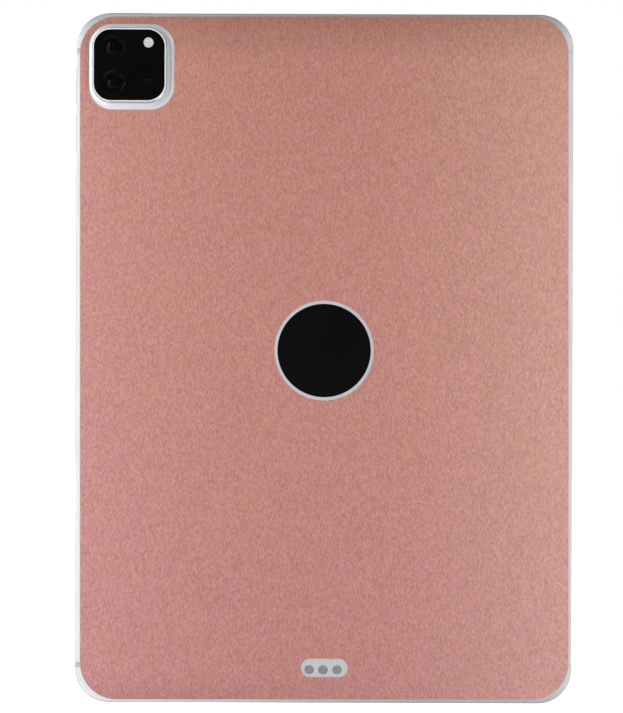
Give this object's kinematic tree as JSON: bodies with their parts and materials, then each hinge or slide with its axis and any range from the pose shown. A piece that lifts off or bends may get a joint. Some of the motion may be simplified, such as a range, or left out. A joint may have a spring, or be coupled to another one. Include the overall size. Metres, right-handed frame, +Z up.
{
  "type": "tablet computer",
  "caption": "Slim tablet computer with an aluminium housing, a thin vinyl skin on its back, a raised square camera unit, side buttons, contact pins and a pull-out SIM tray.",
  "frame": {"origin": "middle of the bottom edge, halfway between the camera glass and the front glass", "axes": "+Z up along the long side to the top edge; the back faces -Y and the screen faces +Y; +X is right when the back is seen, so the camera unit and the volume buttons are on the -X side"},
  "size_m": [0.1789, 0.0078, 0.2481],
  "materials": {
    "housing": "satin",
    "keys": "satin",
    "camera_frame": "polished",
    "antenna_plastic": "matte",
    "skin": "matte",
    "inlay": "gloss",
    "camera_cover": "gloss",
    "lens_window": "gloss",
    "lens": "gloss",
    "flash_glass": "satin",
    "module_plastic": "matte",
    "led": "gloss",
    "front_cover": "gloss",
    "panel": "satin",
    "adhesive": "matte",
    "battery": "matte",
    "circuit_board": "satin",
    "chip": "matte",
    "steel": "satin",
    "mesh": "matte",
    "contact": "satin",
    "flex": "satin",
    "graphite": "matte",
    "card": "matte",
    "pen_window": "satin",
    "ferrite": "matte",
    "copper": "satin",
    "magnet": "satin",
    "antenna": "satin"
  },
  "bodies": {
    "tablet": {"antenna_inserts": "antenna_plastic", "antennas": "antenna", "back_disc": "inlay", "battery_board": "circuit_board", "battery_left": "battery", "battery_right": "battery", "board_chips": "chip", "board_screws": "steel", "camera_bracket": "steel", "camera_flex": "flex", "camera_glass": "camera_cover", "camera_trim": "camera_frame", "connector_flex": "flex", "connector_insulator": "antenna_plastic", "connector_pins": "contact", "cover_magnets": "magnet", "depth_sensor_module": "module_plastic", "depth_sensor_window": "lens_window", "display_adhesive": "adhesive", "display_flex": "flex", "display_panel": "panel", "dome_switches": "module_plastic", "flash_led": "led", "flash_lens": "flash_glass", "front_camera_module": "module_plastic", "front_glass": "front_cover", "front_sensor_module": "module_plastic", "heat_spreader": "graphite", "lens_windows": "lens_window", "logic_board": "circuit_board", "pen_charging_coil": "copper", "pen_charging_core": "ferrite", "pen_charging_window": "pen_window", "pen_magnets": "magnet", "rear_housing": "housing", "rear_microphone": "module_plastic", "rear_skin": "skin", "sensor_board": "circuit_board", "shield_cans": "steel", "sim_reader": "steel", "speaker_lower_left": "module_plastic", "speaker_lower_right": "module_plastic", "speaker_meshes": "mesh", "speaker_upper_left": "module_plastic", "speaker_upper_right": "module_plastic", "top_button_bracket": "steel", "top_microphones": "module_plastic", "ultrawide_camera_lens": "lens", "ultrawide_camera_module": "module_plastic", "usb_board": "circuit_board", "usb_shell": "steel", "usb_tongue": "module_plastic", "volume_bracket": "steel", "wide_camera_lens": "lens", "wide_camera_module": "module_plastic"},
    "top_key": {"top_button": "keys"},
    "volume_up_key": {"volume_up_button": "keys"},
    "volume_down_key": {"volume_down_button": "keys"},
    "tray": {"sim_tray": "keys", "sim_card": "card"}
  },
  "joints": [
    {"name": "top_press", "type": "slide", "parent": "tablet", "child": "top_key", "axis": [0, 0, -1], "range_m": [0, 0.0003], "stiffness_N_per_m": 400},
    {"name": "volume_up_press", "type": "slide", "parent": "tablet", "child": "volume_up_key", "axis": [1, 0, 0], "range_m": [0, 0.0003], "stiffness_N_per_m": 400},
    {"name": "volume_down_press", "type": "slide", "parent": "tablet", "child": "volume_down_key", "axis": [1, 0, 0], "range_m": [0, 0.0003], "stiffness_N_per_m": 400},
    {"name": "tray_pull", "type": "slide", "parent": "tablet", "child": "tray", "axis": [-1, 0, 0], "range_m": [0, 0.018]}
  ]
}
